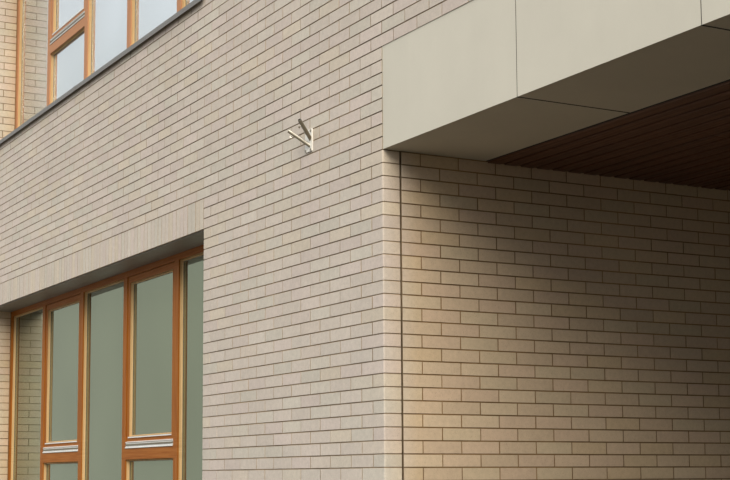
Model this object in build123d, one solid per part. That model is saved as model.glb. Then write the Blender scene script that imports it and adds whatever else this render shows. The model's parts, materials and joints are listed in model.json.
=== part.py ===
from build123d import *
import math
import os

# Two-storey school block of pale facing brick, with an entrance porch in the middle of its front.
# Millimetres. +Z is up, +X runs along the front from left to right, and -Y is the way the front looks.
# The origin is the middle of the footprint at ground level.

# Brick and bond
COURSE = 75.0
HALF_BRICK = 130.0
JOINT = 10.0

# Lengths along the walls, counted in half bricks
PIER_HALVES = 20
WINDOW_HALVES = 45
PORCH_HALVES = 41
PORCH_WINDOW_HALVES = 27
SIDE_PIER_HALVES = 27
PORCH_DEPTH_HALVES = 28

# Heights above the ground, counted in courses
SILL_COURSES = 13
HEAD_COURSES = 45
PORCH_HEAD_COURSES = 46
FASCIA_COURSES = 8
STOREY_COURSES = 55

# Walls, floors and roof
BRICKWORK = 2 * HALF_BRICK
INNER_WALL = 240.0
FLOOR_LEVEL = 150.0
SLAB = 300.0
WALL_OVER_WINDOWS = 375.0
ROOF_COVERING = 225.0
PARAPET_OVER_ROOF = 300.0
COPING_OVERHANG = 30.0
COPING_PLATE = 25.0
COPING_LIP = 60.0
COPING_SHEET = 5.0

# Corner of the porch, with an open movement joint behind the first brick
PORCH_RETURN = 107.0
MOVEMENT_JOINT = 15.0

# Fascia and soffit of the porch
FASCIA_DEPTH = 700.0
PANEL = 40.0
PANEL_GAP = 6.0
PANEL_COUNT = 4
CEILING = 60.0

# Window frames
LIGHTS = 5
PORCH_WINDOW_LIGHTS = 3
FRAME_DEPTH = 90.0
FRAME_FACE = 90.0
FRAME_LAP = 30.0
MULLION = 90.0
TRANSOM = 90.0
TRANSOM_RISE = 780.0
STOP_DEPTH = 18.0
STOP_WIDTH = 15.0
SASH_CLEARANCE = 4.0
SASH_SET_BACK = 8.0
SASH_FACE = 55.0
SASH_FOOT = 100.0
GLASS = 24.0
GLASS_SET_BACK = 38.0
GLASS_BITE = 12.0
GLASS_EDGE_GAP = 3.0

# Metal sills, drip rails and head soffits of the windows
SILL_PROJECTION = 35.0
SILL_SHEET = 3.0
SILL_LIP = 40.0
SILL_RISE = 20.0
SILL_END_GAP = 8.0
DRIP_HEIGHT = 57.0
DRIP_PROJECTION = 14.0
DRIP_GROOVE = 8.0
BEAD_HEIGHT = 10.0
BEAD_PROJECTION = 8.0
SOFFIT_SHEET = 8.0
SOFFIT_SET_BACK = 12.0

# Entrance screen
DOOR_LEAF = 950.0
DOOR_HEIGHT = 2250.0
DOOR_STILE = 110.0
DOOR_BOTTOM_RAIL = 250.0
DOOR_FLOOR_GAP = 8.0
SIDE_LIGHTS = 2
HANDLE_RADIUS = 16.0
HANDLE_LENGTH = 600.0
HANDLE_STANDOFF = 60.0
HANDLE_HEIGHT = 1050.0
HANDLE_FROM_EDGE = 55.0

# Twin flag holder on the front wall
HOLDER_FROM_PORCH = 912.0
HOLDER_HEIGHT = 3680.0
HOLDER_PLATE_WIDTH = 92.0
HOLDER_PLATE_HEIGHT = 140.0
HOLDER_PLATE = 12.0
HOLDER_TUBE_RADIUS = 12.5
HOLDER_BORE_RADIUS = 10.5
HOLDER_TUBE_LENGTH = 175.0
HOLDER_SOCKET_DEPTH = 140.0
HOLDER_TUBE_OFFSET = 20.0
HOLDER_TUBE_STEP = 40.0
HOLDER_SPREAD_ANGLE = 25.0
HOLDER_LEAN_ANGLE = 50.0


def run(halves):
    """Length of brickwork from end to end, in half bricks."""
    return halves * HALF_BRICK - JOINT


def gap(halves):
    """Width of an opening between brickwork, in half bricks."""
    return halves * HALF_BRICK + JOINT


# Plan
PIER = run(PIER_HALVES)
WINDOW = gap(WINDOW_HALVES)
WING = PIER + WINDOW + PIER
PORCH_WIDTH = gap(PORCH_HALVES)
HALF_PORCH = PORCH_WIDTH / 2
HALF_LENGTH = HALF_PORCH + WING
HALF_DEPTH = (2 * run(SIDE_PIER_HALVES) + WINDOW) / 2
FRONT = -HALF_DEPTH
WING_CENTRE = HALF_PORCH + WING / 2
PORCH_WINDOW = gap(PORCH_WINDOW_HALVES)
PORCH_WALL_START = FRONT + PORCH_RETURN + MOVEMENT_JOINT
PORCH_BACK = PORCH_WALL_START + PORCH_DEPTH_HALVES * HALF_BRICK
PORCH_WALL_END = PORCH_BACK + INNER_WALL
CORE_X = HALF_LENGTH - BRICKWORK
CORE_Y = HALF_DEPTH - BRICKWORK
ROOM_X = CORE_X - INNER_WALL
ROOM_Y = CORE_Y - INNER_WALL
PORCH_OUTER = HALF_PORCH + BRICKWORK
PORCH_ROOM = PORCH_OUTER + INNER_WALL
BACK_JOINT = WING_CENTRE / 2
SASH_FRONT = BRICKWORK + SASH_SET_BACK
SASH_BACK = BRICKWORK + FRAME_DEPTH - STOP_DEPTH

# Heights
SILL = SILL_COURSES * COURSE
HEAD = HEAD_COURSES * COURSE
PORCH_HEAD = PORCH_HEAD_COURSES * COURSE
FASCIA_TOP = PORCH_HEAD + FASCIA_COURSES * COURSE
STOREY = STOREY_COURSES * COURSE
UPPER_FLOOR = FLOOR_LEVEL + STOREY
UPPER_SLAB_UNDERSIDE = UPPER_FLOOR - SLAB
ROOF_SLAB_UNDERSIDE = HEAD + STOREY + WALL_OVER_WINDOWS
ROOF_SLAB_TOP = ROOF_SLAB_UNDERSIDE + SLAB
ROOF_TOP = ROOF_SLAB_TOP + ROOF_COVERING
PARAPET = math.ceil((ROOF_TOP + PARAPET_OVER_ROOF) / COURSE) * COURSE


def block(x, y, z):
    """A box between pairs of coordinates."""
    size = [high - low for low, high in (x, y, z)]
    centre = [(low + high) / 2 for low, high in (x, y, z)]
    return Pos(*centre) * Box(*size)


def mirrored(x):
    """The same stretch on the other side of the middle of the front."""
    return (-x[1], -x[0])


def save(name, *solids):
    """One node, of one solid or of solids that stand apart."""
    os.makedirs("parts", exist_ok=True)
    shape = solids[0] if len(solids) == 1 else Compound(children=list(solids))
    export_step(shape, f"parts/{name}.step")


class Window:
    """A row of lights in one opening. Its own frame has x along the wall as seen from outside,
    y from the face of the brickwork inwards, and z up from the ground."""

    def __init__(self, place, centre, width, lights, storey):
        self.place = place
        self.centre = centre
        self.width = width
        self.lights = lights
        self.bottom = SILL + storey * STOREY
        self.top = HEAD + storey * STOREY
        self.pitch = width / lights

    def put(self, solids):
        return [self.place * (Pos(self.centre, 0, 0) * solid) for solid in solids]

    def bay(self, index):
        """Clear stretch between the posts beside one light."""
        left = -self.width / 2 + index * self.pitch
        right = left + self.pitch
        first, last = index == 0, index == self.lights - 1
        left += FRAME_FACE - FRAME_LAP if first else MULLION / 2
        right -= FRAME_FACE - FRAME_LAP if last else MULLION / 2
        return left, right

    def opens(self, index):
        """Every second light is an opening sash over a low fixed pane."""
        return index % 2 == 1

    def fixed_panes(self):
        """(x stretch, z stretch) of each pane that is glazed straight into the frame."""
        low, high = self.bottom + FRAME_FACE, self.top + FRAME_LAP - FRAME_FACE
        panes = []
        for index in range(self.lights):
            pane_top = self.bottom + TRANSOM_RISE if self.opens(index) else high
            panes.append((self.bay(index), (low, pane_top)))
        return panes

    def sash_holes(self):
        """(x stretch, z stretch) of each opening in the frame that holds a sash."""
        low = self.bottom + TRANSOM_RISE + TRANSOM
        high = self.top + FRAME_LAP - FRAME_FACE
        return [(self.bay(i), (low, high)) for i in range(self.lights) if self.opens(i)]

    def masonry_hole(self):
        """What the opening takes out of the brickwork."""
        x = (-self.width / 2, self.width / 2)
        return self.put([block(x, (0, BRICKWORK), (self.bottom, self.top))])[0]

    def inner_hole(self):
        """What the frame and the light behind it take out of the inner wall."""
        half = self.width / 2 + FRAME_LAP
        y = (BRICKWORK, BRICKWORK + INNER_WALL)
        return self.put([block((-half, half), y, (self.bottom, self.top + FRAME_LAP))])[0]

    def frame(self):
        half = self.width / 2 + FRAME_LAP
        y = (BRICKWORK, BRICKWORK + FRAME_DEPTH)
        solid = block((-half, half), y, (self.bottom, self.top + FRAME_LAP))
        for x, z in self.fixed_panes():
            solid -= glazed_hole(x, z, y, BRICKWORK + GLASS_SET_BACK)
        for x, z in self.sash_holes():
            solid -= block(x, (BRICKWORK, SASH_BACK), z)
            solid -= block(grown(x, -STOP_WIDTH), y, grown(z, -STOP_WIDTH))
        return self.put([solid])

    def sashes(self):
        solids = []
        y = (SASH_FRONT, SASH_BACK)
        for x, z in self.sash_holes():
            solid = block(grown(x, -SASH_CLEARANCE), y, grown(z, -SASH_CLEARANCE))
            solids.append(solid - glazed_hole(*sash_glass(x, z), y, BRICKWORK + GLASS_SET_BACK))
        return self.put(solids)

    def panes(self):
        solids = []
        for x, z in self.fixed_panes():
            solids.append(pane(x, z, BRICKWORK + GLASS_SET_BACK))
        for x, z in self.sash_holes():
            solids.append(pane(*sash_glass(x, z), BRICKWORK + GLASS_SET_BACK))
        return self.put(solids)

    def sill(self):
        """Sloping sheet metal on its bed, with a lip that turns down over the brickwork."""
        outline = [
            (BRICKWORK, self.bottom),
            (0, self.bottom),
            (0, self.bottom - SILL_LIP + SILL_SHEET),
            (-SILL_PROJECTION, self.bottom - SILL_LIP + SILL_SHEET),
            (-SILL_PROJECTION, self.bottom + SILL_SHEET),
            (BRICKWORK, self.bottom + SILL_RISE),
        ]
        hollow = [
            (0, self.bottom - SILL_LIP),
            (0, self.bottom),
            (-SILL_PROJECTION + SILL_SHEET, self.bottom),
            (-SILL_PROJECTION + SILL_SHEET, self.bottom - SILL_LIP),
        ]
        length = self.width - 2 * SILL_END_GAP
        return self.put([bar(outline, length) - bar(hollow, length)])

    def drips(self):
        """On the foot of each sash a grooved rail that throws the rain off, and a bead under
        the glass."""
        solids = []
        outer = SASH_FRONT - DRIP_PROJECTION
        inner = outer + DRIP_GROOVE
        for x, z in self.sash_holes():
            low = z[0] + SASH_CLEARANCE
            high = low + DRIP_HEIGHT
            outline = [
                (SASH_FRONT, low),
                (outer, low),
                (outer, low + DRIP_GROOVE),
                (inner, low + 2 * DRIP_GROOVE),
                (inner, high - 2 * DRIP_GROOVE),
                (outer, high - DRIP_GROOVE),
                (SASH_FRONT, high),
            ]
            sash_x = grown(x, -SASH_CLEARANCE)
            centre = Pos((x[0] + x[1]) / 2, 0, 0)
            solids.append(centre * bar(outline, sash_x[1] - sash_x[0]))
            x_glass, z_glass = sash_glass(x, z)
            bead = (z_glass[0] - BEAD_HEIGHT, z_glass[0])
            solids.append(block(x_glass, (SASH_FRONT - BEAD_PROJECTION, SASH_FRONT), bead))
        return self.put(solids)

    def head_soffit(self):
        x = (-self.width / 2, self.width / 2)
        y = (SOFFIT_SET_BACK, BRICKWORK)
        return self.put([block(x, y, (self.top - SOFFIT_SHEET, self.top))])


def grown(stretch, by):
    """A stretch made longer by the same amount at both ends."""
    return (stretch[0] - by, stretch[1] + by)


def sash_glass(x, z):
    """Clear glass of the sash that fills one hole of the frame."""
    return grown(x, -SASH_FACE), (z[0] + SASH_FOOT, z[1] - SASH_FACE)


def bar(outline, length):
    """A profile drawn across the wall, as (y, z) points, run along x about x = 0."""
    face = Plane.YZ * make_face(Polyline(*outline, close=True).edges())
    return extrude(face, length / 2, both=True)


def glazed_hole(x, z, y, glass_front):
    """A hole through a frame, with the groove that the edge of the glass sits in."""
    hole = block(x, y, z)
    groove = (glass_front, glass_front + GLASS)
    return hole + block(grown(x, GLASS_BITE), groove, grown(z, GLASS_BITE))


def pane(x, z, front):
    """Sealed glass unit that reaches into its groove all round."""
    reach = GLASS_BITE - GLASS_EDGE_GAP
    return block(grown(x, reach), (front, front + GLASS), grown(z, reach))


FRONT_PLACE = Pos(0, FRONT, 0)
BACK_PLACE = Location((0, HALF_DEPTH, 0), (0, 0, 180))
LEFT_PLACE = Location((-HALF_LENGTH, 0, 0), (0, 0, -90))
RIGHT_PLACE = Location((HALF_LENGTH, 0, 0), (0, 0, 90))

WINDOWS = {
    "front_left_ground": Window(FRONT_PLACE, -WING_CENTRE, WINDOW, LIGHTS, 0),
    "front_right_ground": Window(FRONT_PLACE, WING_CENTRE, WINDOW, LIGHTS, 0),
    "front_left_upper": Window(FRONT_PLACE, -WING_CENTRE, WINDOW, LIGHTS, 1),
    "front_middle_upper": Window(FRONT_PLACE, 0, PORCH_WINDOW, PORCH_WINDOW_LIGHTS, 1),
    "front_right_upper": Window(FRONT_PLACE, WING_CENTRE, WINDOW, LIGHTS, 1),
    "left_ground": Window(LEFT_PLACE, 0, WINDOW, LIGHTS, 0),
    "left_upper": Window(LEFT_PLACE, 0, WINDOW, LIGHTS, 1),
    "right_ground": Window(RIGHT_PLACE, 0, WINDOW, LIGHTS, 0),
    "right_upper": Window(RIGHT_PLACE, 0, WINDOW, LIGHTS, 1),
    "back_left_ground": Window(BACK_PLACE, WING_CENTRE, WINDOW, LIGHTS, 0),
    "back_middle_ground": Window(BACK_PLACE, 0, WINDOW, LIGHTS, 0),
    "back_right_ground": Window(BACK_PLACE, -WING_CENTRE, WINDOW, LIGHTS, 0),
    "back_left_upper": Window(BACK_PLACE, WING_CENTRE, WINDOW, LIGHTS, 1),
    "back_middle_upper": Window(BACK_PLACE, 0, WINDOW, LIGHTS, 1),
    "back_right_upper": Window(BACK_PLACE, -WING_CENTRE, WINDOW, LIGHTS, 1),
}


def windows(*starts):
    """The windows whose names start with one of these words."""
    return [window for name, window in WINDOWS.items() if name.startswith(starts)]


def cut_windows(solid, chosen, hole):
    for window in chosen:
        solid -= hole(window)
    return solid


def all_of(chosen, piece):
    """The pieces of one kind from several windows."""
    return [solid for window in chosen for solid in piece(window)]


def front_brickwork():
    """Two wings and the wall over the porch. At the porch corners the wings thin to one leaf of
    brick, and the walls of the porch start behind them after an open movement joint."""
    front = (FRONT, FRONT + BRICKWORK)
    behind = (FRONT + PORCH_RETURN, FRONT + BRICKWORK)
    for side, turn in (("left", lambda x: x), ("right", mirrored)):
        wing = block(turn((-HALF_LENGTH, -HALF_PORCH)), front, (0, PARAPET))
        wing -= block(turn((-PORCH_OUTER, -HALF_PORCH)), behind, (0, PORCH_HEAD))
        wing = cut_windows(wing, windows(f"front_{side}"), Window.masonry_hole)
        save(f"front_brickwork_{side}", wing)
        lower = block(
            turn((-PORCH_OUTER, -HALF_PORCH)),
            (PORCH_WALL_START, PORCH_WALL_END),
            (0, PORCH_HEAD),
        )
        upper = block(
            turn((-PORCH_OUTER, -HALF_PORCH)),
            (FRONT + FASCIA_DEPTH, PORCH_WALL_END),
            (PORCH_HEAD, UPPER_SLAB_UNDERSIDE),
        )
        save(f"porch_brickwork_{side}", lower + upper)
    middle = block((-HALF_PORCH, HALF_PORCH), front, (FASCIA_TOP, PARAPET))
    middle = cut_windows(middle, windows("front_middle"), Window.masonry_hole)
    save("front_brickwork_over_porch", middle)


def side_and_back_brickwork():
    """The side walls run between the front and back walls, and two movement joints split the back."""
    between = (-CORE_Y, CORE_Y)
    for side, turn in (("left", lambda x: x), ("right", mirrored)):
        wall = block(turn((-HALF_LENGTH, -CORE_X)), between, (0, PARAPET))
        wall = cut_windows(wall, windows(f"{side}_"), Window.masonry_hole)
        save(f"{side}_brickwork", wall)
        end = block(turn((-HALF_LENGTH, -BACK_JOINT - JOINT / 2)), (CORE_Y, HALF_DEPTH), (0, PARAPET))
        end = cut_windows(end, windows(f"back_{side}"), Window.masonry_hole)
        save(f"back_brickwork_{side}", end)
    half = BACK_JOINT - JOINT / 2
    middle = block((-half, half), (CORE_Y, HALF_DEPTH), (0, PARAPET))
    middle = cut_windows(middle, windows("back_middle"), Window.masonry_hole)
    save("back_brickwork_middle", middle)


def inner_walls():
    """The bearing walls behind the brickwork, one lift on each floor."""
    ground = (FLOOR_LEVEL, UPPER_SLAB_UNDERSIDE)
    upper = (UPPER_FLOOR, ROOF_SLAB_UNDERSIDE)
    for side, turn in (("left", lambda x: x), ("right", mirrored)):
        wall = block(turn((-CORE_X, -PORCH_OUTER)), (-CORE_Y, -ROOM_Y), ground)
        wall = cut_windows(wall, windows(f"front_{side}_ground"), Window.inner_hole)
        save(f"inner_wall_front_{side}_ground", wall)
        beside = block(turn((-PORCH_ROOM, -PORCH_OUTER)), (-ROOM_Y, PORCH_WALL_END), ground)
        save(f"inner_wall_porch_{side}", beside)
    full = (-CORE_X, CORE_X)
    front = block(full, (-CORE_Y, -ROOM_Y), upper)
    front = cut_windows(
        front,
        [w for w in windows("front") if w.bottom > STOREY],
        Window.inner_hole,
    )
    save("inner_wall_front_upper", front)
    for floor, lift in (("ground", ground), ("upper", upper)):
        back = block(full, (ROOM_Y, CORE_Y), lift)
        names = [f"back_{part}_{floor}" for part in ("left", "middle", "right")]
        back = cut_windows(back, windows(*names), Window.inner_hole)
        save(f"inner_wall_back_{floor}", back)
        sides = []
        for side, turn in (("left", lambda x: x), ("right", mirrored)):
            wall = block(turn((-CORE_X, -ROOM_X)), (-ROOM_Y, ROOM_Y), lift)
            sides.append(cut_windows(wall, windows(f"{side}_{floor}"), Window.inner_hole))
        save(f"inner_walls_sides_{floor}", *sides)


def floors_and_roof():
    core = ((-CORE_X, CORE_X), (-CORE_Y, CORE_Y))
    room = ((-ROOM_X, ROOM_X), (-ROOM_Y, ROOM_Y))
    ground = block(*core, (0, FLOOR_LEVEL))
    ground -= block((-PORCH_OUTER, PORCH_OUTER), (-CORE_Y, PORCH_WALL_END), (0, FLOOR_LEVEL))
    save("ground_slab", ground)
    save("porch_paving", block((-HALF_PORCH, HALF_PORCH), (FRONT, PORCH_WALL_END), (0, FLOOR_LEVEL)))
    save("upper_floor_slab", block(*core, (UPPER_SLAB_UNDERSIDE, UPPER_FLOOR)))
    save("roof_slab", block(*core, (ROOF_SLAB_UNDERSIDE, ROOF_SLAB_TOP)))
    save("roof_covering", block(*room, (ROOF_SLAB_TOP, ROOF_TOP)))
    upstand = block(*core, (ROOF_SLAB_TOP, PARAPET)) - block(*room, (ROOF_SLAB_TOP, PARAPET))
    save("parapet_upstand", upstand)


def ring(inner, outer, z):
    """A frame in plan, between two distances out from the walls of the rooms."""
    outside = block((-ROOM_X - outer, ROOM_X + outer), (-ROOM_Y - outer, ROOM_Y + outer), z)
    inside = block((-ROOM_X - inner, ROOM_X + inner), (-ROOM_Y - inner, ROOM_Y + inner), z)
    return outside - inside


def coping():
    """Folded metal over the head of the parapet, with lips that turn down on both sides."""
    wall = INNER_WALL + BRICKWORK
    plate = (PARAPET, PARAPET + COPING_PLATE)
    lip = (PARAPET + COPING_PLATE - COPING_LIP, PARAPET + COPING_PLATE)
    outer = wall + COPING_OVERHANG
    solid = ring(-COPING_OVERHANG, outer, plate)
    solid += ring(outer - COPING_SHEET, outer, lip)
    solid += ring(-COPING_OVERHANG, COPING_SHEET - COPING_OVERHANG, lip)
    save("parapet_coping", solid)


def fascia():
    """Thin concrete panels folded under the beam that carries the wall over the porch."""
    pitch = PORCH_WIDTH / PANEL_COUNT
    panels = []
    for index in range(PANEL_COUNT):
        left = -HALF_PORCH + index * pitch
        right = left + pitch
        left += PANEL_GAP / 2 if index else 0
        right -= PANEL_GAP / 2 if index < PANEL_COUNT - 1 else 0
        upright = block((left, right), (FRONT, FRONT + PANEL), (PORCH_HEAD, FASCIA_TOP))
        under = block((left, right), (FRONT, FRONT + FASCIA_DEPTH), (PORCH_HEAD, PORCH_HEAD + PANEL))
        panels.append(upright + under)
    save("fascia_panels", *panels)
    depth = (FRONT + PANEL, FRONT + FASCIA_DEPTH)
    behind = (FRONT + BRICKWORK, FRONT + FASCIA_DEPTH)
    beam = block((-HALF_PORCH, HALF_PORCH), depth, (PORCH_HEAD + PANEL, UPPER_SLAB_UNDERSIDE))
    beam += block(
        (-HALF_PORCH, HALF_PORCH),
        (FRONT + PANEL, FRONT + BRICKWORK),
        (UPPER_SLAB_UNDERSIDE, FASCIA_TOP),
    )
    for bearing in ((-PORCH_OUTER, -HALF_PORCH), (HALF_PORCH, PORCH_OUTER)):
        beam += block(bearing, behind, (PORCH_HEAD, UPPER_SLAB_UNDERSIDE))
    save("fascia_beam", beam)


def porch_lining():
    width = (-HALF_PORCH, HALF_PORCH)
    save(
        "porch_ceiling",
        block(width, (FRONT + FASCIA_DEPTH, PORCH_BACK), (PORCH_HEAD, PORCH_HEAD + CEILING)),
    )
    save(
        "porch_bulkhead",
        block(width, (PORCH_BACK, PORCH_WALL_END), (PORCH_HEAD, UPPER_SLAB_UNDERSIDE)),
    )


def window_parts():
    for side, starts in (("front", ("front",)), ("back", ("back",)), ("sides", ("left", "right"))):
        chosen = windows(*starts)
        save(f"window_frames_{side}", *all_of(chosen, Window.frame))
        save(f"window_glass_{side}", *all_of(chosen, Window.panes))
    chosen = list(WINDOWS.values())
    save("window_sashes", *all_of(chosen, Window.sashes))
    save("window_sills", *all_of(chosen, Window.sill))
    save("sash_drip_rails", *all_of(chosen, Window.drips))
    save("window_head_soffits", *all_of(chosen, Window.head_soffit))


def entrance():
    """Glazed timber screen across the back of the porch, with a pair of doors in the middle."""
    y = (PORCH_BACK, PORCH_BACK + FRAME_DEPTH)
    door_top = FLOOR_LEVEL + DOOR_HEIGHT
    top = PORCH_HEAD - FRAME_FACE
    low, high = FLOOR_LEVEL + FRAME_FACE, door_top + MULLION
    frame = block((-HALF_PORCH, HALF_PORCH), y, (FLOOR_LEVEL, PORCH_HEAD))
    glass_front = PORCH_BACK + GLASS_SET_BACK
    light = (HALF_PORCH - FRAME_FACE - DOOR_LEAF - SIDE_LIGHTS * MULLION) / SIDE_LIGHTS
    leaf_y = (PORCH_BACK + SASH_SET_BACK, PORCH_BACK + FRAME_DEPTH - STOP_DEPTH)
    holes = [((-DOOR_LEAF, DOOR_LEAF), (high, top))]
    for index in range(SIDE_LIGHTS):
        left = DOOR_LEAF + MULLION + index * (light + MULLION)
        for x in ((left, left + light), (-left - light, -left)):
            holes += [(x, (low, door_top)), (x, (high, top))]
    panes = []
    for x, z in holes:
        frame -= glazed_hole(x, z, y, glass_front)
        panes.append(pane(x, z, glass_front))
    clear_z = (FLOOR_LEVEL, door_top - STOP_WIDTH)
    frame -= block((-DOOR_LEAF, DOOR_LEAF), (y[0], leaf_y[1]), (FLOOR_LEVEL, door_top))
    frame -= block((STOP_WIDTH - DOOR_LEAF, DOOR_LEAF - STOP_WIDTH), y, clear_z)
    leaves, handles = [], []
    leaf_z = (FLOOR_LEVEL + DOOR_FLOOR_GAP, door_top - SASH_CLEARANCE)
    for side in (-1, 1):
        stretch = (SASH_CLEARANCE / 2, DOOR_LEAF - SASH_CLEARANCE)
        inner = grown(stretch, -DOOR_STILE)
        z_glass = (FLOOR_LEVEL + DOOR_BOTTOM_RAIL, leaf_z[1] - DOOR_STILE)
        if side < 0:
            stretch, inner = mirrored(stretch), mirrored(inner)
        leaf = block(stretch, leaf_y, leaf_z)
        leaves.append(leaf - glazed_hole(inner, z_glass, leaf_y, glass_front))
        panes.append(pane(inner, z_glass, glass_front))
        handles.append(pull_handle(side * HANDLE_FROM_EDGE, leaf_y[0]))
    save("entrance_frame", frame)
    save("entrance_doors", *leaves)
    save("entrance_glass", *panes)
    save("door_handles", *handles)


def pull_handle(x, face):
    """Upright bar on two short arms."""
    centre = FLOOR_LEVEL + HANDLE_HEIGHT
    grip = Pos(x, face - HANDLE_STANDOFF, centre) * Cylinder(HANDLE_RADIUS, HANDLE_LENGTH)
    arm = Rot(90, 0, 0) * Cylinder(HANDLE_RADIUS * 2 / 3, HANDLE_STANDOFF)
    for z in (-HANDLE_LENGTH / 3, HANDLE_LENGTH / 3):
        grip += Pos(x, face - HANDLE_STANDOFF / 2, centre + z) * arm
    return grip


def flag_holder():
    """Wall plate with two sockets that lean up, out and apart, the left one lower."""
    x = -HALF_PORCH - HOLDER_FROM_PORCH
    half_width, half_height = HOLDER_PLATE_WIDTH / 2, HOLDER_PLATE_HEIGHT / 2
    z = (HOLDER_HEIGHT - half_height, HOLDER_HEIGHT + half_height)
    solid = block((x - half_width, x + half_width), (FRONT - HOLDER_PLATE, FRONT), z)
    bores = []
    for side in (-1, 1):
        foot_z = HOLDER_HEIGHT - (HOLDER_TUBE_STEP if side < 0 else 0)
        foot = Pos(x + HOLDER_TUBE_OFFSET, FRONT, foot_z)
        foot *= Rot(HOLDER_LEAN_ANGLE, 0, 0) * Rot(0, side * HOLDER_SPREAD_ANGLE, 0)
        middle = Pos(0, 0, HOLDER_TUBE_LENGTH / 2)
        solid += foot * middle * Cylinder(HOLDER_TUBE_RADIUS, HOLDER_TUBE_LENGTH)
        middle = Pos(0, 0, HOLDER_TUBE_LENGTH - HOLDER_SOCKET_DEPTH / 2)
        bores.append(foot * middle * Cylinder(HOLDER_BORE_RADIUS, HOLDER_SOCKET_DEPTH))
    solid -= block((x - PIER, x + HOLDER_FROM_PORCH), (FRONT, FRONT + BRICKWORK), (0, PARAPET))
    for bore in bores:
        solid -= bore
    save("flag_holder", solid)


front_brickwork()
side_and_back_brickwork()
inner_walls()
floors_and_roof()
coping()
fascia()
porch_lining()
window_parts()
entrance()
flag_holder()
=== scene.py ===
import json
import math
import random

import bmesh
import bpy
from bpy.props import FloatProperty, FloatVectorProperty, IntProperty, PointerProperty
from mathutils import Matrix, Vector


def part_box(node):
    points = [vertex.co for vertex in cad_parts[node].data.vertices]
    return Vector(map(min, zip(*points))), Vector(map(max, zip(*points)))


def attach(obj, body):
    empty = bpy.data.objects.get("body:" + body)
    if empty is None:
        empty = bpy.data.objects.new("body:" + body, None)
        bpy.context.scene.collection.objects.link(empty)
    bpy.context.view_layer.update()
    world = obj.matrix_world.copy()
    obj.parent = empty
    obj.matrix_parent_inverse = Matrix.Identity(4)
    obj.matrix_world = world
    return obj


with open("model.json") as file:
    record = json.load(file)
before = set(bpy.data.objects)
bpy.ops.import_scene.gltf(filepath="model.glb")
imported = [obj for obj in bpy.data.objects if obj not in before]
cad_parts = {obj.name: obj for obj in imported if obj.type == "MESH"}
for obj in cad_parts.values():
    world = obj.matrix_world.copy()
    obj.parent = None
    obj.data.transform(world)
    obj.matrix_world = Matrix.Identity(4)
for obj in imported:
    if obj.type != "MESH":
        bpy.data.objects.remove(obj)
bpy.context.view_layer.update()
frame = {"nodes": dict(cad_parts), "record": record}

bl_info = {
    "name": "Brick school building",
    "version": (1, 0, 0),
    "blender": (4, 5, 0),
    "location": "3D View > Sidebar > School",
    "description": "Dresses a two-storey brick school building with bricks, window trim and finishes",
    "category": "Object",
}

# Brickwork in metres: HALF is half a brick along the wall and COURSE its height, each with a joint
HALF = 0.130
COURSE = 0.075
JOINT = 0.010
SHOWN_JOINT = 0.0065
BRICK_WIDTH = 0.120
REVEAL = 0.250
STOREY = 4.125
PORCH_RETURN = 0.107
MOVEMENT_JOINT = 0.015

# Widths in half bricks and heights in courses
COURSES = 116
SOLDIER_COURSES = 3
PORCH_HALVES = 41
PORCH_WALL_HALVES = 28
PAVED_COURSES = 2
WING_PIER = 20
SIDE_PIER = 27
WIDE_WINDOW = 45
MIDDLE_WINDOW = 27
LIGHTS = {WIDE_WINDOW: 5, MIDDLE_WINDOW: 3}
SILL_COURSE = 13
HEAD_COURSE = 45
SLIT = 74

# The building, as the frame gives it
HALF_LENGTH, HALF_DEPTH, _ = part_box("back_brickwork_right")[1]
FRONT_HALVES = round(2 * HALF_LENGTH / HALF)
SIDE_HALVES = round(2 * HALF_DEPTH / HALF)
HALF_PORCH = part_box("porch_paving")[1].x
PORCH_COURSES = round(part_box("porch_ceiling")[0].z / COURSE)
FASCIA_COURSES = round(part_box("fascia_panels")[1].z / COURSE)

# Windows: RAILS are the heights over a floor line between which the grain runs level
RAILS = (0.975, 1.065), (1.755, 1.947), (3.260, 3.410)
FRAME_FRONT = 0.260
FRAME_REACH = 0.500
FRAME_FACE = 0.060
FRAME_FOOT = 0.090
MULLION = 0.090
TRANSOM_RISE = 0.780
TRANSOM = 0.090
SASH_FACE = 0.055
SASH_FOOT = 0.100
SASH_CLEARANCE = 0.004
RAIL_GROOVE = 0.018, 0.037
RAIL_GROOVE_BACK = 0.262
GLASS_SET_BACK = 0.038
BEAD_WIDTH = 0.013
BEAD_DEPTH = 0.014
BEAD_GAP = 0.001
BEAD_CHAMFER = 0.006
GASKET_INSET = 0.012
GASKET_WIDTH = 0.005
GASKET_DEPTH = 0.003
GASKET_GAP = 0.0005
SEAL_MARGIN = 0.002
SEAL_DEPTH = 0.005
SEAL_CHAMFER = 0.001

# Sills
SILL_RUN = 0.295
SILL_FALL = 0.017
SILL_NOSE = 0.035
SILL_LIP = 0.038
SILL_BACK = 0.290
SILL_SHEET = 0.003
SILL_UPSTAND = 0.028
SILL_END = 0.010
SILL_LAP = 0.060
SILL_LAP_RISE = 0.004
SHEET_CHAMFER = 0.0008

# Porch ceiling and fascia
BOARD_THICKNESS = 0.012
BOARD_CHAMFER = 0.0025
BOARD_BUTT_JOINT = 0.002
FASCIA_PANELS = 4
SEALANT_WIDTH = 0.006
SEALANT_DEPTH = 0.030
SEALANT_SET_BACK = 0.001
FASCIA_EDGE_JOINT = 0.005

# Coping and roof
COPING_WIDTH = 0.560
COPING_LENGTHS = 9, 5
COPING_COVER = 0.100
COPING_SHEET = 0.002
ROOF_STRIPS = 26
ROOF_LAP = 0.100
ROOF_SHEET = 0.004
ROOF_CHAMFER = 0.0015

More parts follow.
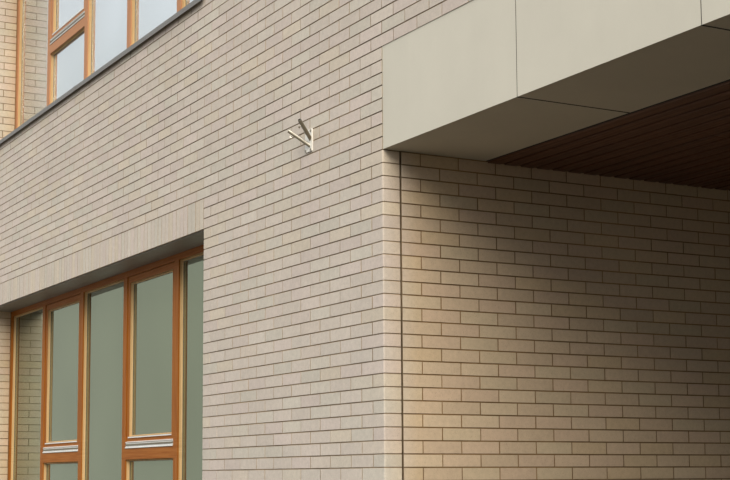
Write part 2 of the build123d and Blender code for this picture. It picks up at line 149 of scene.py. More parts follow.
# Flag holder: angles in degrees
HOLDER = Vector((-HALF_PORCH - 0.912, -HALF_DEPTH, 3.680))
HOLDER_PLATE = 0.012
HOLDER_FOOT = 0.020
HOLDER_STEP = 0.040
HOLDER_LEAN = 50
HOLDER_SPREAD = 25
TUBE_RADIUS = 0.0125
TUBE_LENGTH = 0.175
BOLT_ACROSS = 0.034
BOLT_UP = 0.059
BOLT_RADIUS = 0.0085
BOLT_HEIGHT = 0.006
SCREW_FROM_END = 0.035
SCREW_RADIUS = 0.0035
SCREW_LENGTH = 0.014
SCREW_SHIFT = 0.005
WING_LOW = -0.0015, -0.022, -0.008
WING_HIGH = 0.0015, -0.011, 0.008

# How far behind the outer face of a wall the painted shade of bricks and mortar reaches full strength
PAINTED_SHADE_DEPTH = 0.22

# A slanting line, so that hardly any two points of a piece lie equally far along it
SORTING_LINE = Vector((1.0, 0.6180, 0.3671))

# Stage: the lamp's spread in degrees, the camera's angles in radians
FLOOR_REACH = 700.0
FLOOR_DROP = 0.002
LAMP_FROM = 0.80, -0.34, 0.60
LAMP_COLOUR = 1.0, 0.90, 0.76
LAMP_SPREAD = 44
CAMERA_LENS = 74.07
CAMERA_SHIFT = 0.10
CAMERA_PLACE = 4.621, -10.601, 1.590
CAMERA_HEADING = 2.6346
CAMERA_PITCH = 0.1093
CAMERA_ROLL = -0.0055


def linear(red, green, blue):
    """A colour given as it looks on a screen, from 0 to 255, as the shaders want it."""
    def channel(value):
        value /= 255
        return value / 12.92 if value <= 0.04045 else ((value + 0.055) / 1.055) ** 2.4
    return tuple(channel(value) for value in (red, green, blue))


def colour(name, description, red, green, blue):
    return FloatVectorProperty(
        name=name, description=description, subtype="COLOR", size=3, min=0, max=1,
        default=linear(red, green, blue),
    )


class BrickSettings(bpy.types.PropertyGroup):
    proud: FloatProperty(
        name="Joint depth", description="How far the bricks stand in front of the mortar",
        default=0.0045, min=0.001, max=0.010, unit="LENGTH",
    )
    chamfer: FloatProperty(
        name="Worn edge", description="Chamfer round the face of a brick",
        default=0.0007, min=0.0005, max=0.004, unit="LENGTH",
    )
    arris: FloatProperty(
        name="Round corner", description="Rounding of the upright edge of a corner brick",
        default=0.008, min=0.002, max=0.010, unit="LENGTH",
    )
    wander: FloatProperty(
        name="Wander", description="How far a brick may stand out of line",
        default=0.0008, min=0, max=0.002, unit="LENGTH",
    )
    beige: colour("Beige", "Most of the bricks", 197, 187, 175)
    pink: colour("Pink", "Bricks fired a little hotter", 198, 186, 176)
    straw: colour("Straw", "Yellower bricks", 199, 188, 171)
    sage: colour("Sage", "Grey-green bricks", 195, 188, 175)
    pale: colour("Pale", "The lightest bricks", 201, 191, 180)
    # Painted shade: the darker, warmer tint of the bricks under the porch
    painted_light: colour("Sheltered", "Tint of the bricks under the porch", 248, 234, 212)
    mortar: colour("Mortar", "Raked joints of the outer walls", 154, 137, 114)
    # Painted shade: the darker mortar of the joints under the porch
    painted_light_mortar: colour("Sheltered mortar", "Raked joints under the porch", 127, 102, 68)
    seed: IntProperty(name="Seed", description="Order of the brick colours", default=11, min=0)


class TimberSettings(bpy.types.PropertyGroup):
    stain: colour("Stain", "Weathered faces of the window frames and entrance screen", 160, 97, 30)
    stain_dark: colour("Dark grain", "Grain of the weathered faces", 134, 74, 18)
    # Painted sheen: the paler colour of the faces of the upper windows
    upper_sheen: colour("Bleached", "Weathered faces of the upper windows, in full light", 206, 158, 124)
    # Painted highlight: honey colours of the frame sides, as if lit from the side
    honey: colour("Honey", "Sheltered sides of the frames, behind their faces", 204, 174, 128)
    honey_dark: colour("Dark honey", "Grain of the sheltered sides", 184, 152, 106)
    boards: colour("Boards", "Soffit boards of the porch", 88, 50, 24)
    boards_dark: colour("Dark boards", "Grain of the soffit boards", 56, 31, 14)
    # Painted shadow: near black for the ceiling seen between the soffit boards and for the fascia
    # joints
    backing: colour("Backing", "Felt that shows between the soffit boards", 16, 13, 11)
    board_pitch: FloatProperty(
        name="Board pitch", description="From one soffit board to the next",
        default=0.120, min=0.06, max=0.3, unit="LENGTH",
    )
    board_gap: FloatProperty(
        name="Board gap", description="Open joint between two soffit boards",
        default=0.028, min=0.002, max=0.04, unit="LENGTH",
    )


class SheetSettings(bpy.types.PropertyGroup):
    sill: colour("Sill grey", "Sills and coping", 112, 110, 106)
    aluminium: colour("Aluminium", "Drip rails and door pulls", 238, 238, 235)
    plate: colour("Plate", "Painted wall plate of the flag holder", 226, 224, 216)
    steel: colour("Steel", "Tubes and screws of the flag holder", 176, 173, 165)
    # Painted shade: the darker colour of the tube undersides
    tube_underside_shade: colour("Stained steel", "Undersides of the tubes", 124, 116, 99)
    gasket: colour("Gasket", "Seals round the glass and in the drip rails", 112, 106, 90)
    fascia: colour("Fascia", "Cast panels over the porch", 199, 195, 180)
    soffit: colour("Soffit grey", "Metal under the window heads", 120, 114, 106)
    concrete: colour("Concrete", "Floors and beams", 150, 147, 139)
    paving: colour("Paving", "Stone slabs under the porch", 76, 72, 66)
    plaster: colour("Plaster", "Inside faces of the walls", 212, 209, 200)
    roofing: colour("Roofing", "Sheet on the roof", 82, 83, 84)
    # Painted reflection: the glass is darker and greener on the ground floor and paler on the upper
    # floor
    glass: colour("Glass", "Window glass of the ground floor, coated against the sun", 158, 166, 144)
    upper_glass_reflection: colour("Clear glass", "Window glass of the upper floor", 226, 233, 235)


class StageSettings(bpy.types.PropertyGroup):
    floor: colour("Floor", "Pale studio floor, as the camera sees it", 165, 164, 161)
    bounce: colour("Bounce", "Floor as the underside of the building sees it", 60, 50, 35)
    horizon: colour("Horizon", "Pale background at the floor", 200, 203, 193)
    backdrop: colour("Backdrop", "Pale background above", 244, 247, 250)
    sky: FloatProperty(name="Sky", description="Strength of the even light", default=1.09, min=0)
    key: FloatProperty(name="Key", description="Strength of the main soft lamp", default=3.6, min=0)


class Value:
    """A shader socket that can be used in a sum. Each step adds one Math node."""

    def __init__(self, finish, socket):
        self.finish = finish
        self.socket = socket

    def __add__(self, other):
        return self.finish.sum("ADD", self, other)

    def __sub__(self, other):
        return self.finish.sum("SUBTRACT", self, other)

    def __rsub__(self, other):
        return self.finish.sum("SUBTRACT", other, self)

    def __mul__(self, other):
        return self.finish.sum("MULTIPLY", self, other)

    def __gt__(self, other):
        return self.finish.sum("GREATER_THAN", self, other)

    def __lt__(self, other):
        return self.finish.sum("LESS_THAN", self, other)

    def __mod__(self, other):
        return self.finish.sum("FLOORED_MODULO", self, other)

    __radd__ = __add__
    __rmul__ = __mul__


class Nodes:
    """The nodes of a material or of the world."""

    def __init__(self, tree):
        self.tree = tree

    def node(self, kind, settings, inputs, output=0):
        node = self.tree.nodes.new(kind)
        for key, value in settings.items():
            if key == "stops":
                ramp = node.color_ramp.elements
                while len(ramp) < len(value):
                    ramp.new(1.0)
                for stop, (place, shade) in zip(ramp, value):
                    stop.position = place
                    stop.color = (*shade, 1.0)
            else:
                setattr(node, key, value)
        for key, value in inputs.items():
            self.feed(node.inputs[key], value)
        return Value(self, node.outputs[output])

    def feed(self, socket, value):
        if isinstance(value, Value):
            self.tree.links.new(value.socket, socket)
        else:
            socket.default_value = value

    def sum(self, operation, *terms):
        return self.node("ShaderNodeMath", {"operation": operation}, dict(enumerate(terms)))

    def place(self):
        return self.node("ShaderNodeTexCoord", {}, {}, "Object")

    def axis(self, name):
        return self.node("ShaderNodeSeparateXYZ", {}, {"Vector": self.place()}, name)

    def depth(self):
        """How far a point lies behind the nearest outer face of the building's walls."""
        behind = [
            half - self.sum("ABSOLUTE", self.axis(name))
            for name, half in (("X", HALF_LENGTH), ("Y", HALF_DEPTH))
        ]
        return self.sum("MINIMUM", *behind)

    def stretched(self, x, y, z):
        """Object coordinates, closer together where a number is above 1."""
        return self.node(
            "ShaderNodeVectorMath", {"operation": "MULTIPLY"}, {0: self.place(), 1: (x, y, z)}
        )

    def noise(self, scale, detail=2.0, roughness=0.5, place=None):
        inputs = {"Scale": scale, "Detail": detail, "Roughness": roughness}
        inputs["Vector"] = place or self.place()
        return self.node("ShaderNodeTexNoise", {}, inputs)

    def spread(self, value, low, high, new_low=0.0, new_high=1.0):
        """Stretch low..high to new_low..new_high and cut off what lies outside."""
        inputs = {"Value": value, "From Min": low, "From Max": high}
        inputs.update({"To Min": new_low, "To Max": new_high})
        return self.node("ShaderNodeMapRange", {"clamp": True}, inputs)

    def mix(self, factor, first, second, way="MIX"):
        first, second = (v if isinstance(v, Value) else (*v, 1.0) for v in (first, second))
        settings = {"data_type": "RGBA", "blend_type": way}
        return self.node("ShaderNodeMix", settings, {0: factor, 6: first, 7: second}, 2)

    def shade(self, base, factor):
        """Multiply a colour by a number that varies over the surface."""
        grey = self.node("ShaderNodeCombineColor", {}, {0: factor, 1: factor, 2: factor})
        return self.mix(1.0, base, grey, "MULTIPLY")

    def bump(self, height, distance):
        return self.node("ShaderNodeBump", {}, {"Height": height, "Distance": distance}, "Normal")

    def seen(self):
        """1 where the camera looks, straight, through glass or by a mirror, and 0 for other light."""
        rays = [
            self.node("ShaderNodeLightPath", {}, {}, f"Is {kind} Ray")
            for kind in ("Camera", "Glossy", "Transmission")
        ]
        return self.spread(sum(rays[1:], rays[0]), 0.0, 1.0)


class Finish(Nodes):
    """A material with one shader."""

    def __init__(self, name):
        self.material = bpy.data.materials.new(name)
        self.material.use_nodes = True
        super().__init__(self.material.node_tree)
        self.shader = self.tree.nodes["Principled BSDF"]

    def surface(self, **sockets):
        for key, value in sockets.items():
            if isinstance(value, tuple):
                value = (*value, 1.0)
            self.feed(self.shader.inputs[key.replace("_", " ").title().replace("Ior", "IOR")], value)
        return self.material


def brick_finish(brick):
    """Behind the faces of the walls, under the porch, the bricks are multiplied by a darker, warmer
    tint: painted shade.
    """
    f = Finish("facing_brick_finish")
    tint = f.node("ShaderNodeAttribute", {"attribute_name": "brick_tint"}, {}, "Fac")
    stops = [
        (0.0, brick.beige), (0.34, brick.beige), (0.46, brick.pink), (0.58, brick.pink),
        (0.66, brick.straw), (0.73, brick.straw), (0.80, brick.sage), (0.90, brick.sage),
        (1.0, brick.pale),
    ]
    fired = f.node("ShaderNodeValToRGB", {"stops": stops}, {"Fac": tint})
    # Painted shade: bricks behind the faces of the walls take the darker, warmer tint
    fired = f.mix(f.spread(f.depth(), 0.0, PAINTED_SHADE_DEPTH), fired, tuple(brick.painted_light), "MULTIPLY")
    shade = (tint * 7.31) % 1.0
    clouds = f.noise(1.4, 3.0)
    mottle = f.noise(38.0, 3.0, 0.6)
    grit = f.noise(420.0, 2.0, 0.7)
    pits = f.spread(f.noise(150.0, 1.0), 0.30, 0.38)
    lightness = f.spread(clouds, 0.3, 0.7, 0.96, 1.03) * f.spread(mottle, 0.3, 0.7, 0.93, 1.055)
    lightness = lightness * f.spread(grit, 0.3, 0.7, 0.93, 1.05) * (0.85 + 0.15 * pits)
    lightness = lightness * (0.925 + 0.09 * shade)
    height = 0.5 * mottle + 0.25 * grit + 0.35 * pits
    return f.surface(
        base_color=f.shade(fired, lightness),
        roughness=f.spread(mottle, 0.3, 0.7, 0.82, 0.95),
        normal=f.bump(height, 0.0014),
    )


def mortar_finish(brick):
    f = Finish("mortar_finish")
    sand = f.noise(600.0, 2.0, 0.7)
    patches = f.noise(1.8, 3.0)
    lightness = f.spread(sand, 0.3, 0.7, 0.8, 1.1) * f.spread(patches, 0.35, 0.65, 0.78, 1.35)
    # Painted shade: joints behind the faces of the walls turn to the darker mortar
    porch_shade = f.spread(f.depth(), 0.0, PAINTED_SHADE_DEPTH)
    joints = f.mix(porch_shade, tuple(brick.mortar), tuple(brick.painted_light_mortar))
    return f.surface(
        base_color=f.shade(joints, lightness), roughness=0.95, normal=f.bump(sand, 0.0015)
    )


def grain_colours(f, grain, light, dark):
    weather = f.noise(1.3, 3.0)
    amount = f.spread(grain, 0.36, 0.66) * 0.75 + f.spread(weather, 0.35, 0.7) * 0.25
    return f.mix(amount, tuple(light), tuple(dark))


def board_finish(timber):
    f = Finish("soffit_board_finish")
    grain = f.noise(60.0, 4.0, 0.6, f.stretched(0.035, 1.0, 1.0))
    return f.surface(
        base_color=grain_colours(f, grain, timber.boards, timber.boards_dark),
        roughness=f.spread(grain, 0.3, 0.7, 0.5, 0.66),
        normal=f.bump(grain, 0.0012),
    )


# Painted shadow: near black for the ceiling between the soffit boards and for the fascia joints
def backing_finish(timber):
    f = Finish("backing_finish")
    felt = f.noise(200.0, 2.0)
    lightness = f.spread(felt, 0.3, 0.7, 0.8, 1.2)
    return f.surface(base_color=f.shade(tuple(timber.backing), lightness), roughness=0.9)


def stained_finish(timber):
    """Grain runs up the posts and along the rails. The sides of the frames, behind their faces,
    take the colour of honey, a painted highlight. The faces of the upper frames are half a
    paler colour, a painted sheen."""
    f = Finish("stained_timber_finish")
    upright = f.noise(75.0, 4.0, 0.6, f.stretched(1.0, 1.0, 0.035))
    level = f.noise(75.0, 4.0, 0.6, f.stretched(0.035, 0.035, 1.0))
    height = f.axis("Z") % STOREY
    rail = 0.0
    for low, high in RAILS:
        rail = (height > low) * (height < high) + rail
    grain = upright * (1.0 - rail) + level * rail
    depth = f.depth()
    # Painted highlight: the sides behind the frame faces take the honey colours
    painted_light = f.spread(depth, FRAME_FRONT + 0.010, FRAME_FRONT + 0.015) * (depth < FRAME_REACH)
    face = grain_colours(f, grain, timber.stain, timber.stain_dark)
    # Painted sheen: the faces of the upper frames are half the paler colour
    face = f.mix((f.axis("Z") > STOREY) * 0.5, face, tuple(timber.upper_sheen))
    side = grain_colours(f, grain, timber.honey, timber.honey_dark)
    return f.surface(
        base_color=f.mix(painted_light, face, side),
        roughness=f.spread(grain, 0.3, 0.7, 0.48, 0.62),
        normal=f.bump(grain, 0.0012),
        specular_ior_level=0.15,
    )


def sheet_finish(name, shade, roughness, metallic, streak):
    f = Finish(name)
    streaks = f.noise(9.0, 3.0, 0.6, f.stretched(1.0, 1.0, 0.12))
    dust = f.noise(70.0, 3.0, 0.6)
    lightness = f.spread(streaks, 0.3, 0.7, 1.0 - streak, 1.0 + streak / 2)
    lightness = lightness * f.spread(dust, 0.3, 0.7, 0.96, 1.03)
    return f.surface(
        base_color=f.shade(tuple(shade), lightness),
        roughness=f.spread(dust, 0.3, 0.7, roughness - 0.05, roughness + 0.08),
        metallic=metallic,
        normal=f.bump(streaks, 0.0006),
    )


def mineral_finish(name, shade, cloud, grain_size, depth, roughness):
    """Cast or spread material, such as concrete, plaster or a panel."""
    f = Finish(name)
    clouds = f.noise(1.6, 4.0, 0.6)
    runs = f.noise(5.0, 3.0, 0.6, f.stretched(1.0, 1.0, 0.15))
    grain = f.noise(1.0 / grain_size, 3.0, 0.6)
    lightness = f.spread(clouds, 0.3, 0.7, 1.0 - cloud, 1.0 + cloud / 2)
    lightness = lightness * f.spread(runs, 0.3, 0.7, 1.0 - cloud / 2, 1.0)
    lightness = lightness * f.spread(grain, 0.3, 0.7, 0.97, 1.02)
    return f.surface(
        base_color=f.shade(tuple(shade), lightness), roughness=roughness, normal=f.bump(grain, depth)
    )


def holder_finish(sheet):
    """The plate on the wall is painted. The tubes are steel, darker on their undersides: painted
    shade.
    """
    f = Finish("galvanised_finish")
    dust = f.noise(70.0, 3.0, 0.6)
    tube = f.axis("Y") < HOLDER.y - HOLDER_PLATE - 0.0005
    facing = f.node("ShaderNodeNewGeometry", {}, {}, "Normal")
    upward = f.node("ShaderNodeSeparateXYZ", {}, {"Vector": facing}, "Z")
    # Painted shade: the tubes darken where their surface faces down
    steel = f.mix(f.spread(upward, -0.25, 0.35), tuple(sheet.tube_underside_shade), tuple(sheet.steel))
    worn = f.spread(dust, 0.3, 0.7, 0.94, 1.03)
    return f.surface(
        base_color=f.shade(f.mix(tube, tuple(sheet.plate), steel), worn),
        roughness=f.spread(dust, 0.3, 0.7, 0.50, 0.58) - 0.20 * tube,
        metallic=0.5 * tube,
        normal=f.bump(dust, 0.0003),
    )


def glass_finish(sheet):
    f = Finish("window_glass_finish")
    wave = f.noise(1.1, 1.0)
    # Painted reflection: ground-floor glass darker and greener, upper-floor glass pale as the sky
    storey_reflection = f.mix(f.axis("Z") > STOREY, tuple(sheet.glass), tuple(sheet.upper_glass_reflection))
    return f.surface(
        base_color=f.shade(storey_reflection, f.spread(wave, 0.3, 0.7, 0.93, 1.03)),
        metallic=0.85,
        roughness=0.03,
        alpha=0.86,
        normal=f.bump(wave, 0.0012),
    )


def rubber_finish(shade):
    f = Finish("gasket_finish")
    dust = f.noise(120.0, 2.0)
    return f.surface(
        base_color=f.shade(tuple(shade), f.spread(dust, 0.3, 0.7, 0.85, 1.15)),
        roughness=0.7,
        normal=f.bump(dust, 0.0004),
    )


def order_by_place(bm):
    """Sort the points and faces by place, as a bevel makes them in an order that may vary."""
    bm.verts.sort(key=lambda vert: vert.co @ SORTING_LINE)
    bm.faces.sort(key=lambda face: face.calc_center_median() @ SORTING_LINE)


def finish_piece(bm, name, materials, tints=None):
    """Make an object of the bmesh, at the origin, riding on the building. Tints hold one number
    for each face, so with them the faces keep their order."""
    if not tints:
        order_by_place(bm)
    mesh = bpy.data.meshes.new(name)
    bm.to_mesh(mesh)
    bm.free()
    if tints:
        values = mesh.attributes.new("brick_tint", "FLOAT", "FACE")
        values.data.foreach_set("value", tints)
    for material in materials if isinstance(materials, tuple) else (materials,):
        mesh.materials.append(bpy.data.materials[material])
    piece = bpy.data.objects.new(name, mesh)
    bpy.context.scene.collection.objects.link(piece)
    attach(piece, "root")
    return piece


def add_block(bm, low, high, chamfer=0.0, matrix=None):
    """A box between two corners, with all its edges chamfered where a chamfer is given."""
    low, high = Vector(low), Vector(high)
    made = bmesh.ops.create_cube(bm, size=1.0)["verts"]
    bmesh.ops.scale(bm, vec=high - low, verts=made)
    bmesh.ops.translate(bm, vec=(low + high) / 2, verts=made)
    if chamfer:
        edges = {edge for vert in made for edge in vert.link_edges}
        made = bmesh.ops.bevel(
            bm, geom=list(edges), offset=chamfer, offset_type="OFFSET", affect="EDGES",
            segments=1, profile=0.5, material=-1, clamp_overlap=True,
        )["verts"]
    if matrix:
        bmesh.ops.transform(bm, matrix=matrix, verts=made)
    return made


def add_prism(bm, sides, radius, length, matrix):
    """A prism along its own z axis, with the origin in its middle."""
    ends = []
    for z in (-length / 2, length / 2):
        turns = (2 * math.pi * index / sides for index in range(sides))
        ends.append([
            bm.verts.new(matrix @ Vector((radius * math.sin(turn), radius * math.cos(turn), z)))
            for turn in turns
        ])
    lower, upper = ends
    for index in range(sides):
        bm.faces.new((lower[index - 1], upper[index - 1], upper[index], lower[index]))
    bm.faces.new(lower)
    bm.faces.new(upper[::-1])


def add_ring(bm, low, high, width, front, back, chamfer, matrix):
    """A flat frame round an opening of a wall, chamfered along its front edges."""
    ring = bmesh.new()
    verts = bmesh.ops.create_grid(ring, x_segments=1, y_segments=1, size=0.5)["verts"]
    bmesh.ops.rotate(ring, cent=(0, 0, 0), matrix=Matrix.Rotation(math.pi / 2, 3, "X"), verts=verts)
    bmesh.ops.scale(ring, vec=(high[0] - low[0], 1.0, high[1] - low[1]), verts=verts)
    bmesh.ops.translate(
        ring, vec=((low[0] + high[0]) / 2, back, (low[1] + high[1]) / 2), verts=verts
    )
    [face] = ring.faces
    rim = bmesh.ops.inset_region(
        ring, faces=[face], thickness=width, use_boundary=True, use_even_offset=True
    )["faces"]
    bmesh.ops.delete(ring, geom=[face], context="FACES_ONLY")
    raised = bmesh.ops.extrude_face_region(ring, geom=rim)["geom"]
    lifted = [item for item in raised if isinstance(item, bmesh.types.BMVert)]
    bmesh.ops.translate(ring, vec=(0, front - back, 0), verts=lifted)
    bmesh.ops.recalc_face_normals(ring, faces=ring.faces[:])
    sharp = [edge for edge in ring.edges if edge.calc_face_angle(0) > 1]
    front_edges = [edge for edge in sharp if all(vert in lifted for vert in edge.verts)]
    bmesh.ops.bevel(
        ring, geom=front_edges, offset=chamfer, offset_type="OFFSET", affect="EDGES",
        segments=1, profile=0.5, material=-1, clamp_overlap=True,
    )
    ring.transform(matrix)
    mesh = bpy.data.meshes.new("ring")
    ring.to_mesh(mesh)
    ring.free()
    bm.from_mesh(mesh)
    bpy.data.meshes.remove(mesh)


class Elevation:
    """One face of the building. Its x runs along the wall from the left end, its y into the wall
    and its z up. A window or a gap is (first half brick, last one, first course, last course), and
    a gap also says how the bricks end there. A slit is an upright joint at a half brick."""

    def __init__(self, corner, degrees, halves, windows, gaps=(), slits=()):
        self.matrix = Matrix.Translation(corner) @ Matrix.Rotation(math.radians(degrees), 4, "Z")
        self.halves = halves
        self.windows = windows
        self.gaps = gaps
        self.slits = slits

    def spans(self, course):
        """(first half brick, last one, how the left end turns, how the right end turns)."""
        cuts = [(0, 0, "round"), (self.halves, self.halves, "hidden")]
        for first, last, low, high in self.windows:
            if low <= course < high:
                cuts.append((first, last, "round"))
            elif high <= course < high + SOLDIER_COURSES:
                cuts.append((first, last, "square"))
        for first, last, low, high, turn in self.gaps:
            if low <= course < high:
                cuts.append((first, last, turn))
        cuts += [(slit, slit, "square") for slit in self.slits]
        cuts.sort()
        for left, right in zip(cuts, cuts[1:]):
            if right[0] > left[1]:
                yield left[1], right[0], left[2], right[2]


def window(first, halves, storey):
    """An opening of a wall, as (first half brick, last one, first course, last course)."""
    up = round(storey * STOREY / COURSE)
    return first, first + halves, SILL_COURSE + up, HEAD_COURSE + up


def centred(halves):
    """The first half brick of something in the middle of the front or the back."""
    return (FRONT_HALVES - halves) // 2


def build_elevations():
    porch = centred(PORCH_HALVES), centred(PORCH_HALVES) + PORCH_HALVES
    wings = [
        window(first, WIDE_WINDOW, storey)
        for first in (WING_PIER, FRONT_HALVES - WING_PIER - WIDE_WINDOW)
        for storey in (0, 1)
    ]
    middle_front = window(centred(MIDDLE_WINDOW), MIDDLE_WINDOW, 1)
    middle_back = [window(centred(WIDE_WINDOW), WIDE_WINDOW, storey) for storey in (0, 1)]
    side = [window(SIDE_PIER, WIDE_WINDOW, storey) for storey in (0, 1)]
    return {
        "front": Elevation(
            (-HALF_LENGTH, -HALF_DEPTH, 0), 0, FRONT_HALVES, [*wings, middle_front],
            [(*porch, 0, PORCH_COURSES, "porch"), (*porch, PORCH_COURSES, FASCIA_COURSES, "square")],
        ),
        "back": Elevation(
            (HALF_LENGTH, HALF_DEPTH, 0), 180, FRONT_HALVES, [*wings, *middle_back],
            slits=(SLIT, FRONT_HALVES - SLIT),
        ),
        "left": Elevation((-HALF_LENGTH, HALF_DEPTH, 0), -90, SIDE_HALVES, side),
        "right": Elevation((HALF_LENGTH, -HALF_DEPTH, 0), 90, SIDE_HALVES, side),
    }


ELEVATIONS = build_elevations()


def marks(first, last, course):
    """Where the bricks of a course end, in half bricks, with whole bricks but for the ends."""
    return [first, *(m for m in range(first + 1, last) if (m + course) % 2 == 0), last]


class BrickLayer:
    """Lays bricks of any length on a wall and keeps a colour for each."""

    def __init__(self, settings, seed):
        self.settings = settings
        self.random = random.Random(settings.seed + seed)
        self.bm = bmesh.new()
        self.tints = []
        self.templates = {}

    def template(self, size, side):
        """A brick from x = 0 and z = 0, whose face looks along -y. It is open at the back, or for
        a corner it is whole, with the upright edge at its left (-1) or right (1) rounded."""
        key = (*(round(length, 5) for length in size), side)
        if key not in self.templates:
            bm = bmesh.new()
            verts = bmesh.ops.create_cube(bm, size=1.0)["verts"]
            bmesh.ops.scale(bm, vec=size, verts=verts)
            bmesh.ops.translate(bm, vec=(size[0] / 2, -size[1] / 2, size[2] / 2), verts=verts)
            face = min(bm.faces, key=lambda face: face.calc_center_median().y)
            if side:
                corner = min(
                    bm.edges,
                    key=lambda edge: sum(v.co.y - side * v.co.x for v in edge.verts),
                )
                self.bevel(bm, [corner], self.settings.arris, 3)
                worn = [edge for edge in bm.edges if edge.calc_face_angle() > 1.0]
            else:
                back = max(bm.faces, key=lambda face: face.calc_center_median().y)
                for each in bm.faces:
                    each.material_index = int(each is not face)
                worn = list(face.edges)
                bmesh.ops.delete(bm, geom=[back], context="FACES_ONLY")
            self.bevel(bm, worn, self.settings.chamfer, 1)
            order_by_place(bm)
            mesh = bpy.data.meshes.new("brick_template")
            bm.to_mesh(mesh)
            bm.free()
            self.templates[key] = mesh
        return self.templates[key]

    def bevel(self, bm, edges, offset, segments):
        bmesh.ops.bevel(
            bm, geom=edges, offset=offset, offset_type="OFFSET", affect="EDGES",
            segments=segments, profile=0.5, material=-1, clamp_overlap=True,
        )

    def place(self, template, matrix):
        template.transform(matrix)
        self.bm.from_mesh(template)
        template.transform(matrix.inverted())
        self.tints += [self.random.random()] * len(template.polygons)

    def lay(self, matrix, start, end, low, high):
        """One brick from start to end along a wall and from low to high."""
        slack = (JOINT - SHOWN_JOINT) / 2
        template = self.template((end - start + 2 * slack, self.settings.proud, high - low), 0)
        wander = self.random.uniform(-1, 1) * self.settings.wander
        self.place(template, matrix @ Matrix.Translation((start - slack, wander, low)))

    def turn(self, matrix, start, end, low, high, depth, side):
        """A brick at a corner, left for side -1 and right for 1, that shows depth round it."""
        proud = self.settings.proud
        start -= proud if side < 0 else 0.0
        end += proud if side > 0 else 0.0
        template = self.template((end - start, depth + proud, high - low), side)
        self.place(template, matrix @ Matrix.Translation((start, depth, low)))

    def piece(self, name):
        for mesh in self.templates.values():
            bpy.data.meshes.remove(mesh)
        finishes = "facing_brick_finish", "mortar_finish"
        return finish_piece(self.bm, name, finishes, self.tints)


def lay_elevation(layer, elevation):
    for course in range(COURSES):
        low, high = course * COURSE, course * COURSE + COURSE - SHOWN_JOINT
        for first, last, left, right in elevation.spans(course):
            cuts = marks(first, last, course)
            for a, b in zip(cuts, cuts[1:]):
                place = elevation.matrix, a * HALF, b * HALF - JOINT, low, high
                side = -1 if a == first else 1 if b == last else 0
                turn = {-1: left, 0: "square", 1: right}[side]
                if turn == "square":
                    layer.lay(*place)
                elif turn == "porch":
                    layer.turn(*place, PORCH_RETURN, side)
                elif turn == "round":
                    layer.turn(*place, BRICK_WIDTH if b - a == 2 else REVEAL, side)


def lay_reveals(layer, elevation):
    """Where a whole brick ends at a window, half of another one shows behind its end."""
    for first, last, low, high in elevation.windows:
        left = Matrix.Translation((first * HALF - JOINT, 0, 0)) @ Matrix.Rotation(math.pi / 2, 4, "Z")
        right = Matrix.Translation((last * HALF, 0, 0)) @ Matrix.Rotation(-math.pi / 2, 4, "Z")
        for course in range(low, high):
            z = course * COURSE, course * COURSE + COURSE - SHOWN_JOINT
            if (first + course) % 2 == 0:
                layer.lay(elevation.matrix @ left, HALF, REVEAL, *z)
            if (last + course) % 2 == 0:
                layer.lay(elevation.matrix @ right, -REVEAL, -HALF, *z)


class Painted(bpy.types.Operator):
    """Give every solid of the building its finish"""

    bl_idname = "school.finishes"
    bl_label = "Finishes"

    def execute(self, context):
        scene = context.scene
        brick, timber, sheet = scene.school_brick, scene.school_timber, scene.school_sheet
        finishes = {
            "facing_brick": mortar_finish(brick),
            "wall_block": mineral_finish("plaster_finish", sheet.plaster, 0.04, 0.004, 0.0006, 0.85),
            "concrete": mineral_finish("concrete_finish", sheet.concrete, 0.12, 0.006, 0.0015, 0.88),
            "roofing": mineral_finish("roofing_finish", sheet.roofing, 0.12, 0.002, 0.0010, 0.75),
            "grey_sheet": sheet_finish("grey_sheet_finish", sheet.sill, 0.42, 0.2, 0.08),
            "fascia_panel": mineral_finish("fascia_finish", sheet.fascia, 0.05, 0.003, 0.0004, 0.55),
            "dark_timber": board_finish(timber),
            "stained_timber": stained_finish(timber),
            "window_glass": glass_finish(sheet),
            "aluminium_rail": sheet_finish("aluminium_finish", sheet.aluminium, 0.35, 0.4, 0.05),
            "galvanised_steel": holder_finish(sheet),
        }
        brick_finish(brick)
        rubber_finish(sheet.gasket)
        own = {
            "porch_ceiling": backing_finish(timber),
            "porch_paving": mineral_finish("paving_finish", sheet.paving, 0.10, 0.004, 0.0012, 0.7),
            "window_head_soffits": sheet_finish("head_soffit_finish", sheet.soffit, 0.45, 0.2, 0.12),
        }
        for part in frame["record"]["subparts"]:
            node = frame["nodes"][part["node"]]
            node.data.materials.clear()
            node.data.materials.append(own.get(part["node"]) or finishes[part["material_slot"]])
        return {"FINISHED"}


class FacingBricks(bpy.types.Operator):
    """Lay the facing bricks of all four walls and of the window reveals"""

    bl_idname = "school.facing_bricks"
    bl_label = "Facing bricks"

    def execute(self, context):
        for seed, (name, elevation) in enumerate(ELEVATIONS.items()):
            layer = BrickLayer(context.scene.school_brick, seed)
            lay_elevation(layer, elevation)
            lay_reveals(layer, elevation)
            layer.piece(f"{name}_facing_bricks")
        return {"FINISHED"}


